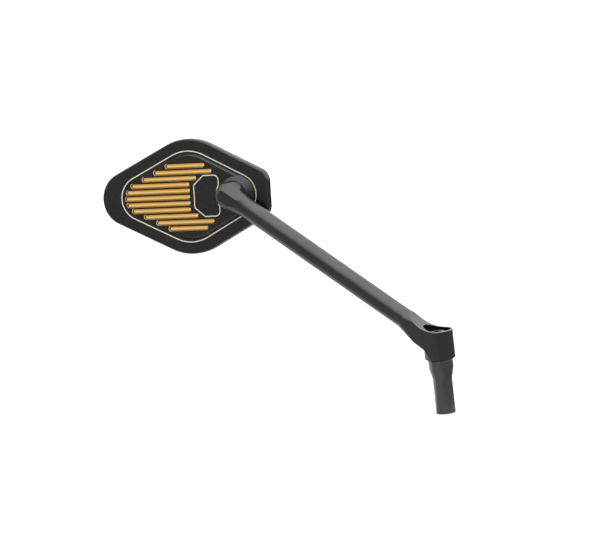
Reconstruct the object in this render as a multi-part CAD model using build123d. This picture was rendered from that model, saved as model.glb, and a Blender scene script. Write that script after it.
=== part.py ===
from build123d import *
import os
from math import atan2, cos, radians, sin, sqrt, tan

# Right-hand motorcycle mirror, in millimetres and degrees. The post stands on the origin with its
# axis along +Z, the arm climbs towards -X, the slatted back faces -Y and the glass faces +Y.

# Mounting post
STEM_D = 15.8
STEM_EDGE = 0.8
FLARE_START = 28.5
FLARE_END = 38.0
FLARE_ROUND = 8.0
POST_HEAD_D = 20.2
POST_SHOULDER = 44.4
SPIGOT_D = 14.0
SPIGOT_H = 7.0
BASE_THREAD_D = 8.65
BASE_THREAD_DEPTH = 18.0

# Swivel clamp in the arm's socket
SWIVEL_WASHER_T = 0.8
SWIVEL_WASHER_EDGE = 0.15
SWIVEL_CLEARANCE = 0.05
SPIGOT_END_GAP = 0.3
FREE_CLEARANCE = 0.35
THREAD_CLEARANCE = 0.05
SCREW_D = 8.0
SCREW_HEAD_D = 13.0
SCREW_HEAD_H = 8.0
SCREW_HEAD_EDGE = 0.7
SCREW_LENGTH = 20.0
SCREW_HEX = 6.0
SCREW_HEX_DEPTH = 4.4
SCREW_HOLE_SPARE = 3.0
CLAMP_WASHER_D = 19.0
CLAMP_WASHER_T = 1.2
DISC_SPRING_D = 18.0
DISC_SPRING_T = 0.8
DISC_SPRING_RISE = 0.45
DISC_SPRING_LAND = 0.4

# Socket, and the flat-sided block that runs from it into the bar
SOCKET_D = 25.0
SOCKET_H = 23.8
SOCKET_EDGE = 0.9
SOCKET_WEB = 3.5
RECESS_D = 22.4
SADDLE_R = 28.0
SADDLE_OFFSET = 4.0
BLOCK_TAPER = 8.2
BLOCK_START = 17.0
BLOCK_TOP = 7.4
BLOCK_UNDER = 9.0
BLOCK_CORNER = 0.6
BLOCK_COVE = 9.0
COVE_START = 5.0
COVE_FOOT = 2.5
COVE_REACH = 4.5
BLEND_END = 35.0
BLEND_FLAT = 0.1

# Arm
ARM_FOOT_H = 13.7
ARM_SLOPE = 37.34
ARM_LENGTH = 214.2
ARM_D = 16.4

# Knuckle at the arm's upper end, round the ball stud
KNUCKLE_R = 11.2
KNUCKLE_BACK = 7.0
KNUCKLE_FRONT = 8.7
KNUCKLE_FLAT = 7.6
KNUCKLE_BEVEL = 5.4
KNUCKLE_FACE_R = 7.2
KNUCKLE_ROLL = 4.0
KNUCKLE_SKIRT = 1.8
KNUCKLE_DEPTH = 9.5
KNUCKLE_CHAMFER = 1.4
KNUCKLE_NECK_D = 19.6
KNUCKLE_NECK_START = 5.0
KNUCKLE_NECK_LENGTH = 12.0
KNUCKLE_NECK_ROUND = 60.0
SPOT_FACE_R = 11.6

# Ball joint
BALL_R = 5.0
BALL_LEVEL = 1.0
BALL_FIT = 0.03
SEAT_T = 1.2
SEAT_REAR_TOP = 55.0
SEAT_REAR_END = 80.0
SEAT_FRONT_TOP = 100.0
SEAT_FRONT_END = 138.0
STUD_NECK_D = 5.5
STUD_HEX = 9.0
STUD_HEX_T = 1.0
STUD_THREAD_D = 8.0
STUD_THREAD_L = 12.0
LOCK_SCREW_D = 4.0
LOCK_SCREW_L = 5.0
LOCK_SCREW_HEX = 2.0
LOCK_SCREW_HEX_DEPTH = 2.0
LOCK_SCREW_LEVEL = 1.5

# Head: heights are measured from the border's back face, widths from the ball's axis
HEAD_TILT = 5.7
HEAD_ROLL = -0.8
HEAD_STANDOFF = 15.0
HEAD_DEPTH = 8.2
HEAD_LEFT_ANGLE = 25.6
HEAD_RIGHT_ANGLE = 27.2
HEAD_TOP_U = -42.4
HEAD_BORDER = 10.3
HEAD_FLAT_BORDER = 10.2
HEAD_LEFT_R = 23.0
HEAD_TOP_R = 43.0
HEAD_RIGHT_R = 11.5
HEAD_BACK_EDGE = 1.5
HEAD_FRONT_EDGE = 0.8

# Bright line round the island, and the island
LINE_BOSS_R = 17.7
LINE_LEFT_R = 18.6
LINE_TOP_R = 32.0
LINE_W = 0.85
LINE_H = 0.5
LINE_GAP = 2.0
ISLAND_H = 1.4
ISLAND_BEVEL = 1.2
BOSS_R = 16.2
BOSS_WALL = 1.0
BOSS_TOP_R = 7.5
BOSS_H = 5.0

# Bright line round the plain panel next to the boss
PANEL_LEFT = 37.85
PANEL_RIGHT = 15.2
PANEL_HALF_H = 17.1
PANEL_CHAMFER_U = 9.0
PANEL_CHAMFER_V = 7.7
PANEL_CHAMFER_R = 2.0
PANEL_RIGHT_R = 4.5
PANEL_ARC_R = 17.6
PANEL_CUSP_R = 1.6
PANEL_LINE_H = 0.35

# Slats: rows are counted from the middle row outwards
SLAT_PITCH = 5.23
SLAT_RIGHT_ENDS = (41.8, 41.7, 41.75, 35.3, 21.0, 27.1)
SLAT_FIELD_INSET = 5.12
SLAT_FIELD_R = 12.3
SLOT_W = 4.0
SLOT_EDGE = 0.3
SLAT_GAP = 0.15
SLAT_END_GAP = 0.9
SLAT_TOP = 1.9
SLAT_ROUND = 1.3
INSERT_T = 1.2
INSERT_INSET = 4.2
INSERT_RIGHT = 18.4
INSERT_SCREW_D = 2.0
INSERT_SCREW_HEAD_D = 3.6
INSERT_SCREW_HEAD_H = 1.0
INSERT_SCREW_DEPTH = 2.2
INSERT_SCREW_SPOTS = ((-45.0, 31.5), (-45.0, -31.5), (-28.0, 10.0), (-28.0, -10.0))

# Inside of the head
FLOOR = -2.2
RIM_T = 2.2
LEDGE = -5.0
LEDGE_W = 4.0
CLAMP_PLATE_R = 13.5
CLAMP_PLATE_T = 2.4
PLATE_SCREW_D = 3.0
PLATE_SCREW_HEAD_D = 5.6
PLATE_SCREW_L = 5.6
PLATE_SCREW_CIRCLE = 10.0
PLATE_SCREW_COUNT = 3
PAD_T = 0.8
PAD_CLEARANCE = 0.3
GLASS_T = 2.0
GLASS_EDGE = 0.3
SEAL_W = 1.0
SEAL_SHORT = 0.3
SEAL_CLEARANCE = 0.05

# Heights up the post's axis
SOCKET_Z = POST_SHOULDER + SWIVEL_WASHER_T
WEB_LOW = SOCKET_Z + SPIGOT_H + SPIGOT_END_GAP
WEB_HIGH = WEB_LOW + SOCKET_WEB
DISC_SPRING_H = DISC_SPRING_T + DISC_SPRING_RISE
WASHER_Z = WEB_HIGH + 2 * DISC_SPRING_H
SCREW_SEAT = WASHER_Z + CLAMP_WASHER_T
RIM_Z = SOCKET_Z + SOCKET_H
ARM_FOOT_Z = SOCKET_Z + ARM_FOOT_H

# The arm's own frame: +Z up the bar, +Y to the bar's upper side
SLOPE_COS = cos(radians(ARM_SLOPE))
SLOPE_SIN = sin(radians(ARM_SLOPE))
ARM_DIR = Vector(-SLOPE_COS, 0, SLOPE_SIN)
ARM_FOOT = Vector(0, 0, ARM_FOOT_Z)
ARM_PLANE = Plane(origin=ARM_FOOT, x_dir=(0, -1, 0), z_dir=ARM_DIR)

# The knuckle's and the head's frames share the ball's axis, which points out of the head's back
HEAD_NORMAL = Vector(0, -cos(radians(HEAD_TILT)), sin(radians(HEAD_TILT)))
KNUCKLE_CENTRE = ARM_FOOT + ARM_DIR * ARM_LENGTH
KNUCKLE_PLANE = Plane(origin=KNUCKLE_CENTRE, x_dir=-ARM_DIR, z_dir=HEAD_NORMAL)
HEAD_ORIGIN = KNUCKLE_CENTRE - HEAD_NORMAL * HEAD_STANDOFF
HEAD_LEVEL = Plane(origin=HEAD_ORIGIN, x_dir=(1, 0, 0), z_dir=HEAD_NORMAL)
HEAD_PLANE = Plane(HEAD_LEVEL.location * Rot(0, 0, HEAD_ROLL))

STANDING = (Align.CENTER, Align.CENTER, Align.MIN)

SEAT_INNER_R = BALL_R + BALL_FIT
SEAT_OUTER_R = SEAT_INNER_R + SEAT_T
CAVITY_R = SEAT_OUTER_R + BALL_FIT


def slab(sketch, low, high):
    """A flat sketch raised between two heights."""
    return extrude(Pos(0, 0, low) * sketch, amount=high - low, dir=(0, 0, 1))


def rod(radius, low, high):
    """A round bar on the local Z axis between two heights."""
    return Pos(0, 0, low) * Cylinder(radius, high - low, align=STANDING)


def turned(points, rounds=None):
    """A piece turned on the local Z axis from its half section, given as (radius, height) points."""
    corner_rounds = rounds or [0] * len(points)
    section = make_face(FilletPolyline(*points, radius=corner_rounds, close=True))
    return revolve(Plane.XZ * section, Axis.Z)


def hexagon(across_flats):
    return RegularPolygon(across_flats / 2, 6, major_radius=False)


def post():
    stem_r = STEM_D / 2
    head_r = POST_HEAD_D / 2
    spigot_r = SPIGOT_D / 2
    top = POST_SHOULDER + SPIGOT_H
    section = [(0, 0), (stem_r, 0), (stem_r, FLARE_START), (head_r, FLARE_END)]
    section += [(head_r, POST_SHOULDER), (spigot_r, POST_SHOULDER), (spigot_r, top), (0, top)]
    rounds = [0, STEM_EDGE, FLARE_ROUND, FLARE_ROUND, 0, 0, STEM_EDGE, 0]
    body = turned(section, rounds)
    body -= rod(BASE_THREAD_D / 2, 0, BASE_THREAD_DEPTH)
    screw_end = SCREW_SEAT - SCREW_LENGTH
    body -= rod(SCREW_D / 2 + THREAD_CLEARANCE, screw_end - SCREW_HOLE_SPARE, top)
    return body


def swivel_washer():
    inner = SPIGOT_D / 2 + SWIVEL_CLEARANCE
    ring = rod(POST_HEAD_D / 2, POST_SHOULDER, SOCKET_Z) - rod(inner, POST_SHOULDER, SOCKET_Z)
    outer_edges = ring.edges().filter_by(GeomType.CIRCLE).group_by(SortBy.RADIUS)[-1]
    return chamfer(outer_edges, SWIVEL_WASHER_EDGE)


def clamp_screw():
    screw = rod(SCREW_D / 2, SCREW_SEAT - SCREW_LENGTH, SCREW_SEAT)
    head_top = SCREW_SEAT + SCREW_HEAD_H
    head = rod(SCREW_HEAD_D / 2, SCREW_SEAT, head_top)
    head = chamfer(head.edges().group_by(Axis.Z)[-1], SCREW_HEAD_EDGE)
    return screw + head - slab(hexagon(SCREW_HEX), head_top - SCREW_HEX_DEPTH, head_top)


def clamp_washer():
    hole = rod(SCREW_D / 2 + FREE_CLEARANCE, WASHER_Z, SCREW_SEAT)
    return rod(CLAMP_WASHER_D / 2, WASHER_Z, SCREW_SEAT) - hole


def disc_spring(base, inner_low, inner_high):
    """A cone-shaped spring washer: flat lands at its rims, and its inner rim at the given heights."""
    inner = SCREW_D / 2 + FREE_CLEARANCE
    outer = DISC_SPRING_D / 2
    outer_low = DISC_SPRING_RISE - inner_low
    outer_high = outer_low + DISC_SPRING_T
    inner_land = inner + DISC_SPRING_LAND
    outer_land = outer - DISC_SPRING_LAND
    section = [(inner, inner_low), (inner_land, inner_low), (outer_land, outer_low), (outer, outer_low)]
    section += [(outer, outer_high), (outer_land, outer_high)]
    section += [(inner_land, inner_high), (inner, inner_high)]
    return Pos(0, 0, base) * turned(section)


def disc_spring_lower():
    return disc_spring(WEB_HIGH, DISC_SPRING_RISE, DISC_SPRING_H)


def disc_spring_upper():
    return disc_spring(WEB_HIGH + DISC_SPRING_H, 0, DISC_SPRING_T)


def arm_point(along, above):
    """X and Z of a point so far up the bar's axis and so far above it."""
    x = -along * SLOPE_COS + above * SLOPE_SIN
    z = ARM_FOOT_Z + along * SLOPE_SIN + above * SLOPE_COS
    return x, z


def saddle_end():
    """How far up the bar its top line leaves the saddle's arc."""
    x, z = arm_point(0, ARM_D / 2)
    to_x = SADDLE_OFFSET - x
    to_z = RIM_Z + SADDLE_R - z
    nearest = -to_x * SLOPE_COS + to_z * SLOPE_SIN
    return nearest + sqrt(nearest**2 - to_x**2 - to_z**2 + SADDLE_R**2)


def saddle_cut():
    """What is cut away above the socket's rim: flat on the right, hollowed towards the bar."""
    centre = (SADDLE_OFFSET, RIM_Z + SADDLE_R)
    arc_end = arm_point(saddle_end(), ARM_D / 2)
    lean = atan2(arc_end[0] - centre[0], centre[1] - arc_end[1]) / 2
    arc_middle = (centre[0] + SADDLE_R * sin(lean), centre[1] - SADDLE_R * cos(lean))
    arc = ThreePointArc((SADDLE_OFFSET, RIM_Z), arc_middle, arc_end)
    above = [arc_end, (arc_end[0], centre[1]), (SOCKET_D, centre[1]), (SOCKET_D, RIM_Z), arc @ 0]
    side_view = make_face([*arc.edges(), *Polyline(*above).edges()])
    return extrude(Plane.XZ * side_view, amount=SOCKET_D, both=True)


def wall_half(along, above):
    """Half the block's width at a point of its side: its walls run out tangent to the socket."""
    x, _ = arm_point(along, above)
    taper = radians(BLOCK_TAPER)
    return SOCKET_D / 2 / cos(taper) + x * tan(taper)


def socket():
    """The round socket and the block beside it, before the saddle and the bores are cut."""
    radius = SOCKET_D / 2
    taper = radians(BLOCK_TAPER)
    far_x, _ = arm_point(BLEND_END, 0)
    far_y = wall_half(BLEND_END, 0)
    touch = (-radius * sin(taper), radius * cos(taper))
    wedge = Polygon((far_x, -far_y), (touch[0], -touch[1]), touch, (far_x, far_y), align=None)
    top_z = arm_point(BLOCK_START, BLOCK_TOP)[1]
    cove_z = SOCKET_Z + COVE_FOOT
    side = [arm_point(BLOCK_START, BLOCK_TOP), arm_point(BLOCK_START, -BLOCK_UNDER)]
    side += [arm_point(COVE_START, -BLOCK_UNDER), (-COVE_REACH, cove_z), (0, cove_z), (0, top_z)]
    side_view = make_face(FilletPolyline(*side, radius=[0, 0, BLOCK_COVE, 0, 0, 0], close=True))
    block = extrude(Plane.XZ * side_view, amount=SOCKET_D, both=True) & slab(wedge, SOCKET_Z, top_z)
    barrel = rod(radius, SOCKET_Z, top_z)
    return block + fillet(barrel.edges().group_by(Axis.Z)[0], SOCKET_EDGE)


def section_at(along, top_half, low_half, top, low, corner):
    """A four-sided section of the arm with rounded corners, square to the bar's axis."""
    corners = [(top_half, top), (-top_half, top), (-low_half, low), (low_half, low)]
    return Pos(0, 0, along) * make_face(FilletPolyline(*corners, radius=corner, close=True))


def bar_blend():
    """Where the round bar turns into the flat-sided block."""
    top_half = wall_half(BLOCK_START, BLOCK_TOP)
    low_half = wall_half(BLOCK_START, -BLOCK_UNDER)
    block_end = section_at(BLOCK_START, top_half, low_half, BLOCK_TOP, -BLOCK_UNDER, BLOCK_CORNER)
    radius = ARM_D / 2
    bar_end = section_at(BLEND_END, radius, radius, radius, -radius, radius - BLEND_FLAT / 2)
    return loft([block_end, bar_end])


def knuckle():
    """The faceted end: a round boss cut to a flat front and two bevels that run along the bar."""
    side = KNUCKLE_FLAT / 2 + KNUCKLE_BEVEL
    bevel_low = KNUCKLE_FRONT - KNUCKLE_BEVEL
    chamfer_r = KNUCKLE_R - KNUCKLE_CHAMFER
    chamfer_low = KNUCKLE_CHAMFER - KNUCKLE_DEPTH
    section = [(0, -KNUCKLE_DEPTH), (chamfer_r, -KNUCKLE_DEPTH), (KNUCKLE_R, chamfer_low)]
    section += [(KNUCKLE_R, bevel_low), (KNUCKLE_FACE_R, KNUCKLE_FRONT), (0, KNUCKLE_FRONT)]
    boss = turned(section)
    neck_end = KNUCKLE_NECK_START + KNUCKLE_NECK_LENGTH
    neck = [(0, KNUCKLE_NECK_START), (KNUCKLE_NECK_D / 2, KNUCKLE_NECK_START), (ARM_D / 2, neck_end)]
    neck += [(ARM_D / 2, neck_end + KNUCKLE_NECK_LENGTH), (0, neck_end + KNUCKLE_NECK_LENGTH)]
    boss += Rot(0, 90, 0) * turned(neck, [0, 0, KNUCKLE_NECK_ROUND, 0, 0])
    half = [(KNUCKLE_FLAT / 2, KNUCKLE_FRONT), (side, bevel_low)]
    half += [(KNUCKLE_R, chamfer_low), (KNUCKLE_R, -KNUCKLE_R)]
    other_half = [(-y - KNUCKLE_SKIRT, z) for y, z in reversed(half)]
    facets = extrude(Plane.YZ * Polygon(*half, *other_half, align=None), amount=ARM_D * 2, both=True)
    across_bar = Plane(origin=KNUCKLE_CENTRE, x_dir=-ARM_DIR, z_dir=(0, -1, 0))
    return across_bar.location * Rot(KNUCKLE_ROLL, 0, 0) * (boss & facets)


def arm():
    bar = ARM_PLANE.location * rod(ARM_D / 2, BLEND_END, ARM_LENGTH)
    body = bar + ARM_PLANE.location * bar_blend() + socket() - saddle_cut() + knuckle()
    body -= rod(SPIGOT_D / 2 + SWIVEL_CLEARANCE, SOCKET_Z, WEB_LOW)
    body -= rod(SCREW_D / 2 + FREE_CLEARANCE, WEB_LOW, WEB_HIGH)
    body -= rod(RECESS_D / 2, WEB_HIGH, RIM_Z + SADDLE_R)
    body -= KNUCKLE_PLANE.location * rod(SPOT_FACE_R, -ARM_D, -KNUCKLE_BACK)
    stud_hole = rod(STUD_THREAD_D / 2 + THREAD_CLEARANCE, -KNUCKLE_BACK, STUD_THREAD_L - KNUCKLE_BACK)
    lock_hole = lock_screw_place() * rod(LOCK_SCREW_D / 2 + THREAD_CLEARANCE, 0, SPOT_FACE_R)
    return body - KNUCKLE_PLANE.location * (stud_hole + lock_hole)


def lock_screw_place():
    """The lock screw's own axis: out of the stud and down through the knuckle's lower side."""
    return Pos(0, 0, -LOCK_SCREW_LEVEL) * Rot(90, 0, 0)


def stud_lock_screw():
    tip = STUD_THREAD_D / 2 + THREAD_CLEARANCE
    tail = tip + LOCK_SCREW_L
    screw = rod(LOCK_SCREW_D / 2, tip, tail)
    screw -= slab(hexagon(LOCK_SCREW_HEX), tail - LOCK_SCREW_HEX_DEPTH, tail)
    return KNUCKLE_PLANE.location * lock_screw_place() * screw


def ball_stud():
    back = HEAD_STANDOFF - KNUCKLE_BACK
    hex_low = back - STUD_HEX_T
    stud = Pos(0, 0, BALL_LEVEL) * Sphere(BALL_R)
    stud += rod(STUD_NECK_D / 2, BALL_LEVEL, hex_low)
    stud += slab(hexagon(STUD_HEX), hex_low, back)
    stud += rod(STUD_THREAD_D / 2, back, back + STUD_THREAD_L)
    return KNUCKLE_PLANE.location * Pos(0, 0, -HEAD_STANDOFF) * stud


def ball_seat(first, last):
    """A ring of the ball's cup between two angles from the ball's axis."""
    outer = CenterArc((0, 0), SEAT_OUTER_R, 90 - last, last - first)
    inner = CenterArc((0, 0), SEAT_INNER_R, 90 - last, last - first)
    section = make_face([outer, inner, Line(outer @ 0, inner @ 0), Line(outer @ 1, inner @ 1)])
    return HEAD_PLANE.location * Pos(0, 0, BALL_LEVEL) * revolve(Plane.XZ * section, Axis.Z)


def ball_seat_rear():
    return ball_seat(SEAT_REAR_TOP, SEAT_REAR_END)


def ball_seat_front():
    return ball_seat(SEAT_FRONT_TOP, SEAT_FRONT_END)


def kite_sides(inset):
    """The upper sides of the head's kite as v = left + rise * u and v = right - fall * u."""
    rise = tan(radians(HEAD_LEFT_ANGLE))
    fall = tan(radians(HEAD_RIGHT_ANGLE))
    right_middle = LINE_BOSS_R / cos(radians(HEAD_RIGHT_ANGLE))
    left_middle = right_middle - (fall + rise) * HEAD_TOP_U
    left = left_middle - inset / cos(radians(HEAD_LEFT_ANGLE))
    right = right_middle - inset / cos(radians(HEAD_RIGHT_ANGLE))
    return left, rise, right, fall


def island_outline(inset):
    """The bright line's rounded kite, moved inwards."""
    left, rise, right, fall = kite_sides(inset)
    top_u = (right - left) / (rise + fall)
    top_v = left + rise * top_u
    corners = [(-left / rise, 0), (top_u, -top_v), (right / fall, 0), (top_u, top_v)]
    rounds = [LINE_LEFT_R - inset, LINE_TOP_R - inset, LINE_BOSS_R - inset, LINE_TOP_R - inset]
    return make_face(FilletPolyline(*corners, radius=rounds, close=True))


def head_outline(inset):
    """The head's outer edge, moved inwards."""
    left, rise, right, fall = kite_sides(inset - HEAD_BORDER)
    top_u = (right - left) / (rise + fall)
    top_v = left + rise * top_u
    flat_u = LINE_BOSS_R + HEAD_FLAT_BORDER - inset
    flat_v = right - fall * flat_u
    corners = [(-left / rise, 0), (top_u, -top_v), (flat_u, -flat_v), (flat_u, flat_v), (top_u, top_v)]
    top_round = HEAD_TOP_R - inset
    right_round = HEAD_RIGHT_R - inset
    rounds = [HEAD_LEFT_R - inset, top_round, right_round, right_round, top_round]
    return make_face(FilletPolyline(*corners, radius=rounds, close=True))


def panel_outline():
    """The plain panel: chamfered on the left, hollowed round the boss on the right."""
    upper = [(-PANEL_RIGHT, PANEL_HALF_H), (PANEL_CHAMFER_U - PANEL_LEFT, PANEL_HALF_H)]
    upper += [(-PANEL_LEFT, PANEL_HALF_H - PANEL_CHAMFER_V)]
    lower = [(u, -v) for u, v in reversed(upper)]
    upper_rounds = [PANEL_RIGHT_R, PANEL_CHAMFER_R, PANEL_CHAMFER_R]
    rounds = upper_rounds + upper_rounds[::-1]
    panel = make_face(FilletPolyline(*upper, *lower, radius=rounds, close=True)) - Circle(PANEL_ARC_R)
    cusps = panel.vertices().group_by(Axis.X)[-1].sort_by(Axis.Y)[1:-1]
    return fillet(cusps, PANEL_CUSP_R)


def slat_rows():
    """Each slot's left end, right end and height on the head's back."""
    left, rise, _, _ = kite_sides(SLAT_FIELD_INSET)
    angle = radians(HEAD_LEFT_ANGLE)
    centre = SLAT_FIELD_R / sin(angle) - left / rise
    rows = []
    for row in range(1 - len(SLAT_RIGHT_ENDS), len(SLAT_RIGHT_ENDS)):
        v = row * SLAT_PITCH
        if abs(v) < SLAT_FIELD_R * cos(angle):
            left_end = centre - sqrt(SLAT_FIELD_R**2 - v**2)
        else:
            left_end = (abs(v) - left) / rise
        rows.append((left_end, -SLAT_RIGHT_ENDS[abs(row)], v))
    return rows


def plate_screw_spots():
    return PolarLocations(PLATE_SCREW_CIRCLE, PLATE_SCREW_COUNT, start_angle=90)


def head_housing():
    shell = slab(head_outline(0), -HEAD_DEPTH, 0)
    shell = fillet(shell.faces().sort_by(Axis.Z)[-1].edges(), HEAD_BACK_EDGE)
    shell = fillet(shell.faces().sort_by(Axis.Z)[0].edges(), HEAD_FRONT_EDGE)
    foot = LINE_W / 2 + LINE_GAP
    island_top = Pos(0, 0, ISLAND_H) * island_outline(foot + ISLAND_BEVEL)
    island = loft([island_outline(foot), island_top], ruled=True)
    boss = turned([(0, FLOOR), (BOSS_R, FLOOR), (BOSS_R, BOSS_WALL), (BOSS_TOP_R, BOSS_H), (0, BOSS_H)])
    line = slab(island_outline(-LINE_W / 2) - island_outline(LINE_W / 2), FLOOR, LINE_H)
    panel = panel_outline()
    panel_ring = offset(panel, amount=LINE_W / 2) - offset(panel, amount=-LINE_W / 2)
    shell += [island, boss, line, slab(panel_ring, FLOOR, ISLAND_H + PANEL_LINE_H)]

    shell -= slab(head_outline(RIM_T), -HEAD_DEPTH, LEDGE)
    shell -= slab(head_outline(RIM_T + LEDGE_W), LEDGE, FLOOR)
    for left_end, right_end, v in slat_rows():
        middle = (left_end + right_end) / 2
        slot = SlotOverall(right_end - left_end, SLOT_W)
        shell -= Pos(middle, v) * slab(slot, FLOOR, ISLAND_H)
        slot_foot = Pos(0, 0, ISLAND_H - SLOT_EDGE) * slot
        shell -= Pos(middle, v) * extrude(slot_foot, amount=SLOT_EDGE, taper=-45)
    shell -= Pos(0, 0, BALL_LEVEL) * Sphere(CAVITY_R)
    shell -= rod(CAVITY_R, FLOOR, BALL_LEVEL)
    plate_hole = rod(PLATE_SCREW_D / 2 + THREAD_CLEARANCE, FLOOR, FLOOR + PLATE_SCREW_L - CLAMP_PLATE_T)
    for place in plate_screw_spots():
        shell -= place * plate_hole
    insert_hole = rod(INSERT_SCREW_D / 2 + THREAD_CLEARANCE, FLOOR, FLOOR + INSERT_SCREW_DEPTH)
    for u, v in INSERT_SCREW_SPOTS:
        shell -= Pos(u, v) * insert_hole
    return HEAD_PLANE.location * shell


def slat_insert():
    """Eleven round-topped slats on one plate, pushed through the island's slots from inside."""
    outline = island_outline(INSERT_INSET)
    wide = outline.bounding_box().size
    left_half = Pos(-INSERT_RIGHT, 0) * Rectangle(wide.X, wide.Y, align=(Align.MAX, Align.CENTER))
    insert = slab(outline & left_half, FLOOR - INSERT_T, FLOOR)
    for left_end, right_end, v in slat_rows():
        start = left_end + SLAT_END_GAP
        end = right_end - SLAT_GAP
        slat = slab(SlotOverall(end - start, SLOT_W - 2 * SLAT_GAP), FLOOR, SLAT_TOP)
        slat = fillet(slat.faces().sort_by(Axis.Z)[-1].edges(), SLAT_ROUND)
        insert += Pos((start + end) / 2, v) * slat
    hole = rod(INSERT_SCREW_D / 2 + THREAD_CLEARANCE, FLOOR - INSERT_T, FLOOR)
    for u, v in INSERT_SCREW_SPOTS:
        insert -= Pos(u, v) * hole
    return HEAD_PLANE.location * insert


def insert_screws():
    low = FLOOR - INSERT_T
    screw = rod(INSERT_SCREW_D / 2, low, FLOOR + INSERT_SCREW_DEPTH)
    screw += rod(INSERT_SCREW_HEAD_D / 2, low - INSERT_SCREW_HEAD_H, low)
    return [HEAD_PLANE.location * Pos(u, v) * screw for u, v in INSERT_SCREW_SPOTS]


def plate_screw(grow):
    """A countersunk screw whose head lies flush with the clamp plate."""
    low = FLOOR - CLAMP_PLATE_T
    head_r = PLATE_SCREW_HEAD_D / 2 + grow
    shank_r = PLATE_SCREW_D / 2 + grow
    cone_end = low + head_r - shank_r
    end = low + PLATE_SCREW_L
    return turned([(0, low), (head_r, low), (shank_r, cone_end), (shank_r, end), (0, end)])


def ball_clamp_plate():
    plate = rod(CLAMP_PLATE_R, FLOOR - CLAMP_PLATE_T, FLOOR) - Pos(0, 0, BALL_LEVEL) * Sphere(CAVITY_R)
    for place in plate_screw_spots():
        plate -= place * plate_screw(THREAD_CLEARANCE)
    return HEAD_PLANE.location * plate


def clamp_plate_screws():
    return [HEAD_PLANE.location * place * plate_screw(0) for place in plate_screw_spots()]


def glass_pad():
    return HEAD_PLANE.location * slab(head_outline(RIM_T + PAD_CLEARANCE), LEDGE - PAD_T, LEDGE)


def mirror_glass():
    back = LEDGE - PAD_T
    glass = slab(head_outline(RIM_T + SEAL_W + 2 * SEAL_CLEARANCE), back - GLASS_T, back)
    return HEAD_PLANE.location * chamfer(glass.faces().sort_by(Axis.Z)[0].edges(), GLASS_EDGE)


def glass_seal():
    back = LEDGE - PAD_T
    outer = RIM_T + SEAL_CLEARANCE
    ring = head_outline(outer) - head_outline(outer + SEAL_W)
    return HEAD_PLANE.location * slab(ring, back - GLASS_T + SEAL_SHORT, back)


PIECES = [
    post,
    swivel_washer,
    clamp_screw,
    clamp_washer,
    disc_spring_lower,
    disc_spring_upper,
    arm,
    ball_stud,
    stud_lock_screw,
    ball_seat_rear,
    ball_seat_front,
    ball_clamp_plate,
    clamp_plate_screws,
    head_housing,
    slat_insert,
    insert_screws,
    glass_pad,
    mirror_glass,
    glass_seal,
]

os.makedirs("parts", exist_ok=True)
for piece in PIECES:
    made = piece()
    shape = Compound(made) if isinstance(made, list) else made
    export_step(shape, f"parts/{piece.__name__}.step")
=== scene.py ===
# %% [markdown]
# # A motorcycle mirror, dressed for its picture
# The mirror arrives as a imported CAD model: a black post, a black arm with a socket below and a
# faceted knuckle above, and a rhombic head whose back carries gold slats between bright machined
# lines. All its shapes are there already, and nothing in them is moved. This lesson gives every piece
# the finish of the real one, and sets up a small studio round it.

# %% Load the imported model
import math

import bmesh
import bpy
from mathutils import Matrix, Vector

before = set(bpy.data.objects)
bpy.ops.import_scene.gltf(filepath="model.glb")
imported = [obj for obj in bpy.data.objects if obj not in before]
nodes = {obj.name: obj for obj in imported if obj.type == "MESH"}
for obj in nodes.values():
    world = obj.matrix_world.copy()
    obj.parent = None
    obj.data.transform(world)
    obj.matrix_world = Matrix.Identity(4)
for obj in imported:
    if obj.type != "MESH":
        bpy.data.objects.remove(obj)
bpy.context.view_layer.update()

MM = 0.001

# %% [markdown]
# ## The camera
# The picture was taken from a little to the right of the head's back and a little above it, with a
# long lens from far away, so that parallel edges stay almost parallel. The camera is also turned a
# few degrees about its own axis. It could be placed by eye in the viewport. A camera's matrix is its
# right, up and back directions and its place, so those four are worked out here and put together.

# %% Camera directions
VIEW_AZIMUTH = math.radians(23.0)
VIEW_ELEVATION = math.radians(8.9)
VIEW_ROLL = math.radians(6.47)

back = Vector((math.sin(VIEW_AZIMUTH) * math.cos(VIEW_ELEVATION),
               -math.cos(VIEW_AZIMUTH) * math.cos(VIEW_ELEVATION),
               math.sin(VIEW_ELEVATION)))
level_right = Vector((math.cos(VIEW_AZIMUTH), math.sin(VIEW_AZIMUTH), 0))
level_up = back.cross(level_right)
right = math.cos(VIEW_ROLL) * level_right - math.sin(VIEW_ROLL) * level_up
up = math.sin(VIEW_ROLL) * level_right + math.cos(VIEW_ROLL) * level_up
print("camera looks along", [round(-x, 3) for x in back])

# %% [markdown]
# ### Its place and its lens
# The foot of the post is the model's origin. Where that foot lies in the picture says how far the
# camera stands aside and above, and the focal length in pixels gives the lens.

# %% Camera
PICTURE = (600, 560)
FOCAL_PIXELS = 4000.0
ORIGIN_PIXEL = (446.2, 412.4)
VIEW_DISTANCE = 3.272
VIEW_END = 50.0
SENSOR_WIDTH = 36.0

aside = (ORIGIN_PIXEL[0] - PICTURE[0] / 2) / FOCAL_PIXELS * VIEW_DISTANCE
above = -(ORIGIN_PIXEL[1] - PICTURE[1] / 2) / FOCAL_PIXELS * VIEW_DISTANCE
place = back * VIEW_DISTANCE - right * aside - up * above

camera_data = bpy.data.cameras.new("camera")
camera_data.sensor_width = SENSOR_WIDTH
camera_data.lens = SENSOR_WIDTH * FOCAL_PIXELS / PICTURE[0]
camera_data.clip_end = VIEW_END
camera = bpy.data.objects.new("camera", camera_data)
camera.matrix_world = Matrix((
    (right.x, up.x, back.x, place.x),
    (right.y, up.y, back.y, place.y),
    (right.z, up.z, back.z, place.z),
    (0, 0, 0, 1)))
bpy.context.scene.collection.objects.link(camera)
bpy.context.scene.camera = camera
print("camera at", [round(x, 3) for x in place])

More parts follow.
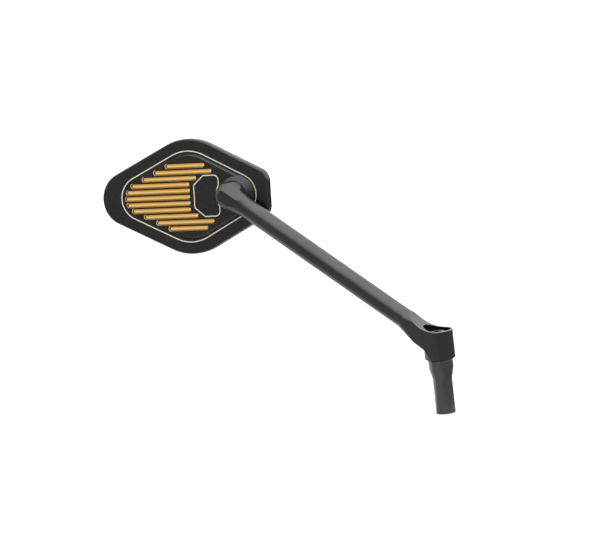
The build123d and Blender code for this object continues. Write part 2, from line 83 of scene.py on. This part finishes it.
# %% [markdown]
# ## Sums with nodes
# The sky, the floor and every finish are trees of nodes: small boxes that each do one sum and hand the
# result on. They could be placed one by one in the shader editor. Here a helper makes each kind of
# box, so that the later cells read like the sums themselves.

# %% Sums with nodes
def feed(tree, node, values):
    """Fills a node's inputs in order: a socket is linked, a number or a vector is written in."""
    for socket, value in zip(node.inputs, values):
        if isinstance(value, bpy.types.NodeSocket):
            tree.links.new(value, socket)
        else:
            socket.default_value = value


def reckon(tree, operation, *values):
    """A sum of numbers."""
    node = tree.nodes.new("ShaderNodeMath")
    node.operation = operation
    feed(tree, node, values)
    return node.outputs["Value"]


def reckon_vector(tree, operation, *values):
    """A sum with vectors: the outputs hold a Vector and a Value."""
    node = tree.nodes.new("ShaderNodeVectorMath")
    node.operation = operation
    feed(tree, node, values)
    return node.outputs


print("sums ready: Math and Vector Math nodes")

# %% [markdown]
# ### Colour from a number
# A Color Ramp turns a number into a colour. It starts with two stops, so the outer two are set and the
# ones between are added. Sky, card and finishes all get their colours this way.

# %% Colour ramp
def grey(level):
    """A colour with the same share of red, green and blue."""
    return (level, level, level)


def tint(tree, value, socket, stops):
    """Colours a number with a ramp of (position, colour) stops."""
    ramp = tree.nodes.new("ShaderNodeValToRGB")
    elements = ramp.color_ramp.elements
    elements[0].position = stops[0][0]
    elements[1].position = stops[-1][0]
    for position, _ in stops[1:-1]:
        elements.new(position)
    for element, (_, colour) in zip(elements, stops):
        element.color = (*colour, 1)
    tree.links.new(value, ramp.inputs["Fac"])
    tree.links.new(ramp.outputs["Color"], socket)


print("colour ramp ready")

# %% [markdown]
# ## The studio
# Black metal is seen by what it reflects. In the picture the bar is light along its upper half and
# dark where it faces the room. Lamps would each leave a spot on such a surface, so the light is a sky:
# bright and wide above and behind the mirror, dim on the camera's side. A ramp runs over how far the
# gaze leans towards the nearer of two directions, so it has no edge that would show in the bar.

# %% Sky, bright above and behind
SKY_STOPS = [(0.0, 0.16), (0.2, 0.17), (0.46, 0.78), (0.85, 1.0)]
SKY_STRENGTH = 1.45
LIGHT_ABOVE = Vector((0.12, 0.1, 0.89)).normalized()
LIGHT_BEHIND = Vector((-0.1, 0.9, 0.42)).normalized()

studio_sky = bpy.data.worlds.new("studio_sky")
studio_sky.use_nodes = True
sky_tree = studio_sky.node_tree
sky_glow = sky_tree.nodes["Background"]
sky_glow.inputs["Strength"].default_value = SKY_STRENGTH
gaze = sky_tree.nodes.new("ShaderNodeTexCoord").outputs["Generated"]
lean_up = reckon_vector(sky_tree, "DOT_PRODUCT", gaze, LIGHT_ABOVE)["Value"]
lean_back = reckon_vector(sky_tree, "DOT_PRODUCT", gaze, LIGHT_BEHIND)["Value"]
nearer = reckon(sky_tree, "MAXIMUM", lean_up, lean_back)
tint(sky_tree, nearer, sky_glow.inputs["Color"], [(at, grey(level)) for at, level in SKY_STOPS])
bpy.context.scene.world = studio_sky
bpy.context.scene.view_settings.view_transform = "Standard"
print("sky with", len(SKY_STOPS), "stops")

# %% [markdown]
# ### Floor and dark card
# The mirror stands on a white floor, but its sides are dark in the picture, as if the floor before it
# were not lit. Photographers lay out black card for that. Here a card lies on the floor that only
# reflections see: the floor stays white to the camera, and the metal still has something dark to
# show. Both are grids of one face, and neither is part of the mirror.

# %% Floor and dark card
FLOOR_REACH = 14.0
CARD_REACH = 7.0
CARD_HEIGHT = 0.4 * MM


def stage_sheet(name, reach, height):
    """A flat square sheet that reaches equally far to all four sides."""
    sheet_bm = bmesh.new()
    bmesh.ops.create_grid(sheet_bm, x_segments=1, y_segments=1, size=reach)
    bmesh.ops.translate(sheet_bm, vec=(0, 0, height), verts=sheet_bm.verts)
    mesh = bpy.data.meshes.new(name)
    sheet_bm.to_mesh(mesh)
    sheet_bm.free()
    sheet = bpy.data.objects.new(name, mesh)
    bpy.context.scene.collection.objects.link(sheet)
    return sheet


floor = stage_sheet("floor", FLOOR_REACH, 0.0)
dark_card = stage_sheet("dark_card", CARD_REACH, CARD_HEIGHT)
dark_card.visible_camera = False
dark_card.visible_diffuse = False
dark_card.visible_shadow = False
dark_card.visible_transmission = False
print("floor and card, metres across:", 2 * FLOOR_REACH, 2 * CARD_REACH)

# %% [markdown]
# ## Finishes
# Every finish is a small tree of nodes that ends in one Principled shader. The pattern reads Object
# coordinates, which here are metres in the model's own frame, so a grain of half a millimetre keeps
# its size on every piece. Pictures could be wrapped round the pieces instead, but would need a map for
# each. What is the same all over is set on the shader itself.

# %% Start of a finish
WIDE_SPAN = (0.3, 0.7)
PLAIN_DETAIL = 2.0
FINE_DETAIL = 3.0


def new_finish(name, metallic, roughness=0.5):
    """A material with one Principled shader, and its tree."""
    finish = bpy.data.materials.new(name)
    finish.use_nodes = True
    tree = finish.node_tree
    shader = tree.nodes["Principled BSDF"]
    shader.inputs["Metallic"].default_value = metallic
    shader.inputs["Roughness"].default_value = roughness
    return finish, tree, shader


def place_on_piece(tree):
    """Where a point lies in the model's frame, in metres."""
    return tree.nodes.new("ShaderNodeTexCoord").outputs["Object"]


def grain(tree, scale, detail=FINE_DETAIL, stretch=(1, 1, 1)):
    """A noise with so many waves to a metre, stretched along the axes."""
    mapping = tree.nodes.new("ShaderNodeMapping")
    mapping.inputs["Scale"].default_value = stretch
    noise = tree.nodes.new("ShaderNodeTexNoise")
    noise.inputs["Scale"].default_value = scale
    noise.inputs["Detail"].default_value = detail
    tree.links.new(place_on_piece(tree), mapping.inputs["Vector"])
    tree.links.new(mapping.outputs["Vector"], noise.inputs["Vector"])
    return noise.outputs["Fac"]


def shades(dark, light, span=WIDE_SPAN):
    """Two stops for a noise, which seldom leaves the middle of its range."""
    return [(span[0], dark), (span[1], light)]


print("finishes can start, shades lie between", WIDE_SPAN)

# %% [markdown]
# ### White paper
# The floor is matt white paper. Paint alone would come out grey, since the sky is dim in front. More
# light would bleach the mirror too, so the paper gets a little glow of its own instead, and only where
# the camera, metal or glass looks at it. The mirror's shadow stays.

# %% Floor finish
PAPER_ROUGH = 0.9
PAPER_GLOSS = 0.1
PAPER_GRAIN = 6.0
PAPER_GLOW = 0.2

paper, paper_tree, paper_shader = new_finish("floor_paper", metallic=0.0, roughness=PAPER_ROUGH)
paper_shader.inputs["Specular IOR Level"].default_value = PAPER_GLOSS
paper_shader.inputs["Emission Color"].default_value = (1, 1, 1, 1)
paper_grain = grain(paper_tree, PAPER_GRAIN)
tint(paper_tree, paper_grain, paper_shader.inputs["Base Color"], shades(grey(0.86), grey(0.88)))
ray = paper_tree.nodes.new("ShaderNodeLightPath").outputs
mirrored = reckon(paper_tree, "MAXIMUM", ray["Is Glossy Ray"], ray["Is Transmission Ray"])
seen = reckon(paper_tree, "MAXIMUM", ray["Is Camera Ray"], mirrored)
glow = reckon(paper_tree, "MULTIPLY", seen, PAPER_GLOW)
paper_tree.links.new(glow, paper_shader.inputs["Emission Strength"])
floor.data.materials.append(paper)
print("floor is paper white, glow", PAPER_GLOW)

# %% [markdown]
# ### The card's fades
# A card cut straight would show its edges in the metal. This one is white under the arm, on the left
# of the post, and fades to dark in front, on the right and far behind. Each fade is a direction, the
# two distances along it where the card starts to darken and is dark, and how dark it gets. The
# darkest of the fades wins. A Map Range node carries each distance over to a share of darkness.

# %% Card finish
CARD_WHITE = grey(0.85)
CARD_DARK = grey(0.16)
CARD_ROUGH = 0.9
CARD_FADES = [((0.25, -0.97, 0), -0.03, 0.01, 0.84),
              ((0, -1, 0), 0.3, 0.6, 1.0),
              ((1, 0, 0), -0.01, 0.04, 1.0),
              ((0, 1, 0), 0.2, 0.9, 0.9)]


def remap(tree, value, low, high, to_low=0.0, to_high=1.0):
    """Carries a number from one span to another and stops at both ends."""
    node = tree.nodes.new("ShaderNodeMapRange")
    feed(tree, node, (value, low, high, to_low, to_high))
    return node.outputs["Result"]


card_grey, card_tree, card_shader = new_finish("card_grey", metallic=0.0, roughness=CARD_ROUGH)
card_shader.inputs["Specular IOR Level"].default_value = 0.0
on_card = place_on_piece(card_tree)
darkness = 0.0
for direction, near, far, depth in CARD_FADES:
    outwards = reckon_vector(card_tree, "DOT_PRODUCT", on_card, direction)["Value"]
    fade = remap(card_tree, outwards, near, far, 0.0, depth)
    darkness = reckon(card_tree, "MAXIMUM", darkness, fade)
tint(card_tree, darkness, card_shader.inputs["Base Color"], [(0.0, CARD_WHITE), (1.0, CARD_DARK)])
dark_card.data.materials.append(card_grey)
print("card fades in", len(CARD_FADES), "directions")

# %% [markdown]
# ### Worn edges and a painted rim highlight
# On a used mirror the black is thinnest along the edges. The Bevel node gives the normal that a
# slightly rounded edge would have. Where it differs from the face's own normal there is an edge, so
# the comparison of the two is the mask. On the arm the lighter colour goes only on the edges round the
# socket's recess, as a painted highlight on its rim.

# %% Worn edges and a painted rim highlight
EDGE_SAMPLES = 8
EDGE_STARTS = 0.995
EDGE_FULL = 0.93
WEAR_GRAIN = 400.0
RIM_CENTRE = (0, 0, 69.0 * MM)
RIM_NEAR = 15.0 * MM
RIM_FAR = 22.0 * MM


def soft_edges(tree, radius):
    """Normals rounded at the edges, and a mask that is 1 on the edges."""
    rounded = tree.nodes.new("ShaderNodeBevel")
    rounded.samples = EDGE_SAMPLES
    rounded.inputs["Radius"].default_value = radius
    soft_normal = rounded.outputs["Normal"]
    true_normal = tree.nodes.new("ShaderNodeNewGeometry").outputs["Normal"]
    likeness = reckon_vector(tree, "DOT_PRODUCT", soft_normal, true_normal)["Value"]
    return soft_normal, remap(tree, likeness, EDGE_STARTS, EDGE_FULL)


def worn_in_patches(tree):
    """A mask that lets the wear come and go along an edge."""
    return grain(tree, WEAR_GRAIN)


def rim_painted_highlight(tree):
    """A mask that is 1 close to the rim of the socket's recess, where it puts a painted highlight."""
    away = reckon_vector(tree, "DISTANCE", place_on_piece(tree), RIM_CENTRE)["Value"]
    return remap(tree, away, RIM_FAR, RIM_NEAR)


print("wear masks ready")

# %% [markdown]
# ### Roughness and bump
# Blasting and brushing leave pits and scratches far finer than the mesh. They could be modelled, but
# nobody would see them one by one. What is seen is a gloss that comes and goes, which the roughness
# gives, and a light unrest in the reflections, which a bump of a hundredth of a millimetre gives.

# %% Roughness and bump
NARROW_SPAN = (0.35, 0.65)


def vary_roughness(tree, shader, value, smooth, rough):
    """Spreads a noise between two values of roughness."""
    tree.links.new(remap(tree, value, *NARROW_SPAN, smooth, rough), shader.inputs["Roughness"])


def roughen(tree, shader, value, depth, strength, under=None):
    """Adds a bump of the given depth in metres, over the given normal if there is one."""
    bump = tree.nodes.new("ShaderNodeBump")
    bump.inputs["Strength"].default_value = strength
    bump.inputs["Distance"].default_value = depth
    tree.links.new(value, bump.inputs["Height"])
    if under is not None:
        tree.links.new(under, bump.inputs["Normal"])
    tree.links.new(bump.outputs["Normal"], shader.inputs["Normal"])


print("roughness follows a noise between", NARROW_SPAN)

# %% [markdown]
# ### Black anodised metal
# The post, the arm and the head are aluminium with a black oxide grown into the surface. Black paint
# would be a plain dark colour under a clear gloss. The oxide is still metal, so it reflects in its own
# dark tone, with a satin blur from the blasting before the bath. Seen edge-on it lights up less than
# bare metal does, which the specular tint takes care of. The Mix node keeps sockets for numbers,
# vectors and colours side by side, so the ones for colours are named by their place in the row.

# %% Black anodised finishes
BLAST_GRAIN = 2600.0
FINE_BLAST_GRAIN = 3200.0
BLAST_DETAIL = 4.0
BLAST_DEPTH = 0.02 * MM
BLAST_STRENGTH = 0.35
ROUGH_SPREAD = 0.08
CLOUD_GRAIN = 45.0
WIDE_EDGE = 1.2 * MM
FINE_EDGE = 0.4 * MM
MIX_SHARE, MIX_FIRST, MIX_SECOND, MIX_RESULT = 0, 6, 7, 2


def black_anodised(name, dark, light, wear_and_highlight, edge_on, rough, blast, edge_radius, mask=worn_in_patches):
    """Black oxide on metal, lighter on the edges its mask picks: wear, and on the arm a painted rim
    highlight.
    """
    finish, tree, shader = new_finish(name, metallic=1.0)
    shader.inputs["Specular Tint"].default_value = (*grey(edge_on), 1)
    fine = grain(tree, blast, BLAST_DETAIL)
    cloud = grain(tree, CLOUD_GRAIN, PLAIN_DETAIL)
    soft_normal, edge = soft_edges(tree, edge_radius)
    base = tree.nodes.new("ShaderNodeMix")
    base.data_type = "RGBA"
    base.inputs[MIX_SECOND].default_value = (*wear_and_highlight, 1)
    tint(tree, cloud, base.inputs[MIX_FIRST], shades(dark, light, NARROW_SPAN))
    tree.links.new(reckon(tree, "MULTIPLY", edge, mask(tree)), base.inputs[MIX_SHARE])
    tree.links.new(base.outputs[MIX_RESULT], shader.inputs["Base Color"])
    vary_roughness(tree, shader, fine, rough, rough + ROUGH_SPREAD)
    roughen(tree, shader, fine, BLAST_DEPTH, BLAST_STRENGTH, soft_normal)
    return finish


post_black = black_anodised(
    "post_black", dark=grey(0.215), light=grey(0.24), wear_and_highlight=grey(0.27), edge_on=0.8, rough=0.26,
    blast=BLAST_GRAIN, edge_radius=WIDE_EDGE)
# The arm's edges are lighter only round the socket's rim: a painted highlight.
arm_black = black_anodised(
    "arm_black", dark=(0.12, 0.12, 0.119), light=(0.136, 0.136, 0.135), wear_and_highlight=(0.34, 0.34, 0.335),
    edge_on=0.85, rough=0.26, blast=BLAST_GRAIN, edge_radius=WIDE_EDGE, mask=rim_painted_highlight)
# Painted shade: the recess is made far darker than the arm, for the shade deep in the socket.
painted_recess_shade = black_anodised(
    "painted_recess_shade", dark=grey(0.022), light=grey(0.03), wear_and_highlight=grey(0.03), edge_on=0.5, rough=0.42,
    blast=BLAST_GRAIN, edge_radius=FINE_EDGE)
head_black = black_anodised(
    "head_black", dark=(0.092, 0.093, 0.091), light=(0.104, 0.105, 0.103), wear_and_highlight=(0.16, 0.16, 0.155),
    edge_on=0.62, rough=0.22, blast=FINE_BLAST_GRAIN, edge_radius=FINE_EDGE)
print("black finishes:", [finish.name for finish in (post_black, arm_black, painted_recess_shade, head_black)])

# %% [markdown]
# ### The head's own frame
# The head is tilted a little, so that its back looks slightly up, and turned a little in its plane.
# Slats and lines follow the head, not the floor, so finishes and tests on them are easier in the
# head's own frame: one axis along the slats, one across them, and one out of the back.

# %% The head's own frame
KNUCKLE = Vector((-170.3, 0, 188.82)) * MM
STANDOFF = 15.0 * MM
HEAD_TILT = math.radians(5.7)
HEAD_ROLL = math.radians(-0.8)

head_normal = Vector((0, -math.cos(HEAD_TILT), math.sin(HEAD_TILT)))
head_u = Matrix.Rotation(HEAD_ROLL, 3, head_normal) @ Vector((1, 0, 0))
head_v = head_normal.cross(head_u)
head_origin = KNUCKLE - head_normal * STANDOFF
to_head = Matrix((head_u, head_v, head_normal))


def along_head(tree, axis):
    """How far a point lies along an axis from the middle of the head."""
    from_middle = reckon_vector(tree, "SUBTRACT", place_on_piece(tree), head_origin)["Vector"]
    return reckon_vector(tree, "DOT_PRODUCT", from_middle, axis)["Value"]


print("head's origin in mm:", [round(x / MM, 2) for x in head_origin])

# %% [markdown]
# ### Gold anodised slats
# The slats were brushed along their length before the gold bath, so their grain runs along the rows.
# The ramp paints a highlight along each crown and shade on the flanks, over the gold. Light could do
# that alone on a larger piece, but these are a few pixels high, so a ramp over the distance from each
# row's crown paints it. The rows are evenly spaced, so one fraction that goes back and forth does for
# all eleven. The painted highlight lies a little below each row's middle.

# %% Gold
SLAT_PITCH = 5.23 * MM
HALF_ROW = 0.5
CROWN_DROP = 0.06
RIPPLE_SHARE = 0.08
GOLD_PAINTED_SHADING = [(0.10, (1.0, 0.71, 0.25)), (0.19, (0.76, 0.42, 0.085)), (0.33, (0.64, 0.32, 0.04)),
               (0.40, (0.26, 0.10, 0.008))]
GOLD_METAL = 0.18
GOLD_ROUGH = (0.48, 0.56)
BRUSH_GRAIN = 2400.0
BRUSH_STRETCH = (0.05, 1, 1)
MARK_DEPTH = 0.01 * MM
MARK_STRENGTH = 0.3


def across_slats(tree, ripple):
    """How far a point is from its row's crown, in pitches, with a little of the brush's ripple."""
    from_crown = reckon(tree, "ADD", along_head(tree, head_v / SLAT_PITCH), CROWN_DROP)
    row_offset = reckon(tree, "PINGPONG", from_crown, HALF_ROW)
    return reckon(tree, "MULTIPLY_ADD", ripple, RIPPLE_SHARE, row_offset)


gold, gold_tree, gold_shader = new_finish("gold_anodised", GOLD_METAL)
brushed = grain(gold_tree, BRUSH_GRAIN, stretch=BRUSH_STRETCH)
# The ramp paints a highlight on each crown and shade on the flanks.
tint(gold_tree, across_slats(gold_tree, brushed), gold_shader.inputs["Base Color"], GOLD_PAINTED_SHADING)
vary_roughness(gold_tree, gold_shader, brushed, *GOLD_ROUGH)
roughen(gold_tree, gold_shader, brushed, MARK_DEPTH, MARK_STRENGTH)
print("gold runs through", len(GOLD_PAINTED_SHADING), "shades from crown to flank")

# %% [markdown]
# ### Pale tips and dark heels
# The right-hand end of each slat is paler, a painted highlight where the rounding turns to the light.
# The left-hand end, where it dips under the slot's rim, is a deep brown, a painted shade. Each is a
# finish of its own, laid on the end's faces further down. One grain is enough for such small faces,
# and for most of the pieces that follow, so a helper makes them all.

# %% Slat ends
def grained_finish(name, metallic, stops, smooth, rough, scale, detail=PLAIN_DETAIL, stretch=(1, 1, 1)):
    """A finish whose one grain moves both its shade and its roughness."""
    finish, tree, shader = new_finish(name, metallic)
    marks = grain(tree, scale, detail, stretch)
    tint(tree, marks, shader.inputs["Base Color"], stops)
    vary_roughness(tree, shader, marks, smooth, rough)
    return finish, tree, shader, marks


def slat_end(name, dark, light):
    """Gold of one shade for an end of the slats."""
    finish, _, _, _ = grained_finish(
        name, GOLD_METAL, shades(dark, light), *GOLD_ROUGH, BRUSH_GRAIN, FINE_DETAIL)
    return finish


# Painted highlight on the slats' right ends, painted shade on their left ends.
tip_painted_highlight = slat_end("tip_painted_highlight", (1.0, 0.86, 0.56), (1.0, 0.91, 0.66))
heel_painted_shade = slat_end("heel_painted_shade", (0.22, 0.085, 0.012), (0.28, 0.11, 0.016))
print("slat ends:", tip_painted_highlight.name, "and", heel_painted_shade.name)

# %% [markdown]
# ### Bright machined lines
# The lines round the island and round the plain panel are cut after the black bath and show the bare
# metal, with the cutter's fine marks. They are as thin as a pixel, where a full mirror would sparkle,
# so the metal is mostly matt and pale.

# %% Bare metal
CUTTER_GRAIN = 2200.0

bare, bare_tree, bare_shader, bare_marks = grained_finish(
    "bare_machined", metallic=0.2, stops=shades((0.95, 0.87, 0.66), (1.0, 0.94, 0.75)),
    smooth=0.42, rough=0.58, scale=CUTTER_GRAIN)
bare_normal, _ = soft_edges(bare_tree, FINE_EDGE)
roughen(bare_tree, bare_shader, bare_marks, MARK_DEPTH, MARK_STRENGTH, bare_normal)
print("bare metal made:", bare.name)

# %% [markdown]
# ### The slots
# The slots are cut before the black bath. Their walls get a dark brown, a painted reflection of the
# gold beside them and painted shade in the narrow gaps. At their left ends the cutter's run-in leaves a
# cream rim of bare metal, and painted shade darkens it into the depth: a ramp along the head's third
# axis, in millimetres, does that. Their lower edges catch the gold's light, and light that bounces
# twice is slow to render well on so thin a line, so these edges get a painted gold reflection instead.

# %% Slot finishes
RIM_PAINTED_DEPTH_SHADE = [(0.05, (0.10, 0.05, 0.012)), (0.5, (1.0, 0.83, 0.5))]
EDGE_SMOOTH = 0.38
EDGE_ROUGH = 0.52

# Painted reflection and shade: a dark brown for the gold the walls would mirror and the gaps' shade.
slot_shade_and_reflection, _, _, _ = grained_finish(
    "slot_brown", metallic=1.0, stops=shades((0.05, 0.025, 0.007), (0.07, 0.035, 0.01)),
    smooth=0.3, rough=0.42, scale=CUTTER_GRAIN)
slot_edge, _, _, _ = grained_finish(
    "slot_edge", metallic=0.3, stops=shades((0.70, 0.39, 0.09), (0.80, 0.46, 0.12)),
    smooth=EDGE_SMOOTH, rough=EDGE_ROUGH, scale=CUTTER_GRAIN)
slot_end, end_tree, end_shader = new_finish("slot_end", metallic=0.2)
end_marks = grain(end_tree, CUTTER_GRAIN, PLAIN_DETAIL)
depth_in_mm = along_head(end_tree, head_normal / MM)
# Painted shade: the left ends darken from the cream bare-metal rim down into the slot.
tint(end_tree, depth_in_mm, end_shader.inputs["Base Color"], RIM_PAINTED_DEPTH_SHADE)
vary_roughness(end_tree, end_shader, end_marks, EDGE_SMOOTH, EDGE_ROUGH)
print("slot finishes:", slot_shade_and_reflection.name, slot_edge.name, slot_end.name)

# %% [markdown]
# ### The knuckle's matt bevel
# The knuckle's bevel on the side of the slats is blasted matt. A satin face there would mirror the
# gold and turn brown, so this one is no metal to the shader: it scatters the light and shows one even
# grey, as the real one does.

# %% Matt bevel
BEVEL_GLOSS = 0.15

bevel_matt, _, bevel_shader, _ = grained_finish(
    "bevel_matt", metallic=0.0, stops=shades((0.085, 0.085, 0.088), (0.1, 0.1, 0.103), NARROW_SPAN),
    smooth=0.55, rough=0.65, scale=BLAST_GRAIN, detail=BLAST_DETAIL)
bevel_shader.inputs["Specular IOR Level"].default_value = BEVEL_GLOSS
print("matt bevel made:", bevel_matt.name)

# %% [markdown]
# ### Steel, plastic, foam and rubber
# Screws, washers, springs and the ball are steel with faint streaks, as drawn bar has. The streaks lie
# along the upright axis, as the clamp screw does, because that is the steel that shows. The seats and
# the washer under the arm are a hard plastic, the pad behind the glass is foam, and the seal is
# rubber. They are mostly out of sight in the picture, but show from other sides and when the head turns.

# %% Steel, plastic, foam and rubber
STREAK_GRAIN = 1500.0
STREAK_STRETCH = (1, 1, 0.2)
STREAK_STRENGTH = 0.4
STEEL_SPREAD = 0.12
MOULD_SPREAD = 0.15
MOULD_DETAIL = 4.0
MOULD_STRENGTH = 0.5


def streaked_steel(name, dark, light, rough):
    """Steel with fine upright streaks."""
    finish, tree, shader, streaks = grained_finish(
        name, 1.0, shades(dark, light), rough, rough + STEEL_SPREAD, STREAK_GRAIN, stretch=STREAK_STRETCH)
    roughen(tree, shader, streaks, MARK_DEPTH, STREAK_STRENGTH)
    return finish


def moulded(name, dark, light, rough, scale, depth):
    """Plastic, foam or rubber with the grain of its mould."""
    rougher = min(1.0, rough + MOULD_SPREAD)
    finish, tree, shader, leather = grained_finish(
        name, 0.0, shades(dark, light), rough, rougher, scale, MOULD_DETAIL)
    roughen(tree, shader, leather, depth, MOULD_STRENGTH)
    return finish


black_steel = streaked_steel("black_steel", (0.12, 0.12, 0.12), (0.16, 0.16, 0.158), rough=0.3)
zinc_steel = streaked_steel("zinc_steel", (0.50, 0.50, 0.51), (0.60, 0.60, 0.61), rough=0.26)
acetal = moulded("acetal", (0.022, 0.022, 0.023), (0.034, 0.034, 0.035),
                 rough=0.4, scale=900.0, depth=0.01 * MM)
foam = moulded("pad_foam", (0.035, 0.035, 0.037), (0.06, 0.06, 0.062),
               rough=0.85, scale=1800.0, depth=0.1 * MM)
rubber = moulded("seal_rubber", (0.016, 0.016, 0.017), (0.028, 0.028, 0.029),
                 rough=0.55, scale=1400.0, depth=0.03 * MM)
print("hidden finishes:", [finish.name for finish in (black_steel, zinc_steel, acetal, foam, rubber)])

# %% [markdown]
# ### Mirror glass
# A mirror is glass with silver behind it. It could be modelled as two sheets, but the eye only sees
# one reflection, so the whole pane is a smooth metal, a little grey and green, under a clear coat. A
# faint haze keeps it from looking perfect.

# %% Mirror glass
HAZE_GRAIN = 30.0
COAT = 0.5
COAT_ROUGH = 0.02

glass, _, glass_shader, _ = grained_finish(
    "mirror_glass", metallic=1.0, stops=shades((0.74, 0.78, 0.80), (0.78, 0.82, 0.835)),
    smooth=0.02, rough=0.04, scale=HAZE_GRAIN)
glass_shader.inputs["Coat Weight"].default_value = COAT
glass_shader.inputs["Coat Roughness"].default_value = COAT_ROUGH
print("glass made:", glass.name)

# %% [markdown]
# ## Dressing
# A finish is put on by giving it to the piece's mesh as its first material. It could be dragged on in
# the editor, piece by piece, but a list of names and finishes can be read and checked. Any material
# that came with the model is cleared first.

# %% Dress the CAD nodes
FINISHES = {
    "post": post_black, "arm": arm_black, "head_housing": head_black, "slat_insert": gold,
    "swivel_washer": acetal, "clamp_screw": black_steel, "clamp_washer": zinc_steel,
    "disc_spring_lower": zinc_steel, "disc_spring_upper": zinc_steel, "ball_stud": zinc_steel,
    "stud_lock_screw": black_steel, "ball_seat_rear": acetal, "ball_seat_front": acetal,
    "ball_clamp_plate": head_black, "clamp_plate_screws": zinc_steel,
    "insert_screws": zinc_steel, "glass_pad": foam, "mirror_glass": glass, "glass_seal": rubber,
}
for name, finish in FINISHES.items():
    nodes[name].data.materials.clear()
    nodes[name].data.materials.append(finish)
print("dressed", len(FINISHES), "nodes of", len(nodes))

# %% [markdown]
# ### Faces with a finish of their own
# The housing is one piece, but its lines and slots have finishes of their own. The mesh could be cut
# up for that. Blender also lets each face name one of its mesh's materials, so the faces are picked by
# where their middle is and which way they look, in the head's own frame.

# %% Helpers for picking faces
FLAT_OUT = 0.99


def in_head(face):
    """Which way a face looks and where its middle is, in the head's own frame."""
    return to_head @ face.normal, to_head @ (face.center - head_origin)


def paint_faces(node, finish, picks):
    """Gives a finish to those faces of a node that a test picks."""
    node.data.materials.append(finish)
    slot = len(node.data.materials) - 1
    picked = [face for face in node.data.polygons if picks(face)]
    for face in picked:
        face.material_index = slot
    print(finish.name, "on", len(picked), "faces")


print("picking helpers ready")

# %% [markdown]
# ### Lines and slots
# The lines are flat and lie at two known heights. A slot's faces are its upright walls and the sloped
# edge at its top, all on the left of the panel. Those that look to the right are the slots' left ends,
# and sloped ones that look up are the lower edges. A later finish lies over an earlier one.

# %% Housing's faces
LINE_TOP = 0.5 * MM
PANEL_LINE_TOP = 1.75 * MM
NEAR = 0.02 * MM
SLOT_RIGHT = -18.5 * MM
SLOT_FLOOR = -2.2 * MM
EDGE_LOW = 1.1 * MM
EDGE_HIGH = 1.4 * MM
UPRIGHT = 0.02
SLOPE_LOW = 0.6
SLOPE_HIGH = 0.8
END_TURN = 0.25


def on_line(face):
    facing, at = in_head(face)
    return facing.z > FLAT_OUT and min(abs(at.z - LINE_TOP), abs(at.z - PANEL_LINE_TOP)) < NEAR


def on_slot_edge(face):
    facing, at = in_head(face)
    return at.x < SLOT_RIGHT and SLOPE_LOW < facing.z < SLOPE_HIGH and EDGE_LOW < at.z < EDGE_HIGH


def in_slot(face):
    facing, at = in_head(face)
    on_wall = at.x < SLOT_RIGHT and abs(facing.z) < UPRIGHT and SLOT_FLOOR < at.z < EDGE_LOW
    return on_wall or on_slot_edge(face)


def at_left_end(face):
    return in_head(face)[0].x > END_TURN and in_slot(face)


def on_lower_edge(face):
    return in_head(face)[0].y > END_TURN and on_slot_edge(face) and not at_left_end(face)


housing = nodes["head_housing"]
paint_faces(housing, bare, on_line)
paint_faces(housing, slot_shade_and_reflection, in_slot)
paint_faces(housing, slot_end, at_left_end)
paint_faces(housing, slot_edge, on_lower_edge)

# %% [markdown]
# ### Tips and heels
# The rounded ends of the slats stand above the insert's plate. A tip is the middle of the end that
# leans to the right, a heel is all of the end that leans to the left.

# %% Slats' faces
SLAT_LOW = 0.6 * MM
END_LEAN = 0.35
TIP_SIDE = 0.5


def on_tip(face):
    facing, at = in_head(face)
    return facing.x > END_LEAN and abs(facing.y) < TIP_SIDE and at.z > SLAT_LOW


def on_heel(face):
    facing, at = in_head(face)
    return facing.x < -END_LEAN and at.z > SLAT_LOW


paint_faces(nodes["slat_insert"], tip_painted_highlight, on_tip)
paint_faces(nodes["slat_insert"], heel_painted_shade, on_heel)

# %% [markdown]
# ### Recess and bevel
# Deep in the socket the black is dull and painted far darker, a painted shade, so the clamp screw
# stands in the dark: those faces are the recess's floor and the wall that looks at the post's axis.
# The matt bevel is made up of the faces on the front of the knuckle that lean to the left.

# %% Arm's faces
RECESS_R = 11.2 * MM
RECESS_FLOOR = 55.9 * MM
INWARDS = 0.8
BEVEL_REACH = 15.0 * MM
BEVEL_FRONT = 2.5 * MM
BEVEL_LEAN = 0.2
BEVEL_TOP = 0.45


def in_recess(face):
    across = Vector((face.center.x, face.center.y, 0))
    looks_in = face.normal.dot(across) < -INWARDS * across.length
    within = face.center.z > RECESS_FLOOR and across.length < RECESS_R
    return within and (looks_in or face.normal.z > FLAT_OUT)


def on_bevel(face):
    from_knuckle = face.center - KNUCKLE
    in_front = from_knuckle.length < BEVEL_REACH and from_knuckle.y < -BEVEL_FRONT
    leans = face.normal.x < -BEVEL_LEAN and face.normal.y < -BEVEL_LEAN and face.normal.z < BEVEL_TOP
    return in_front and leans


paint_faces(nodes["arm"], painted_recess_shade, in_recess)
paint_faces(nodes["arm"], bevel_matt, on_bevel)
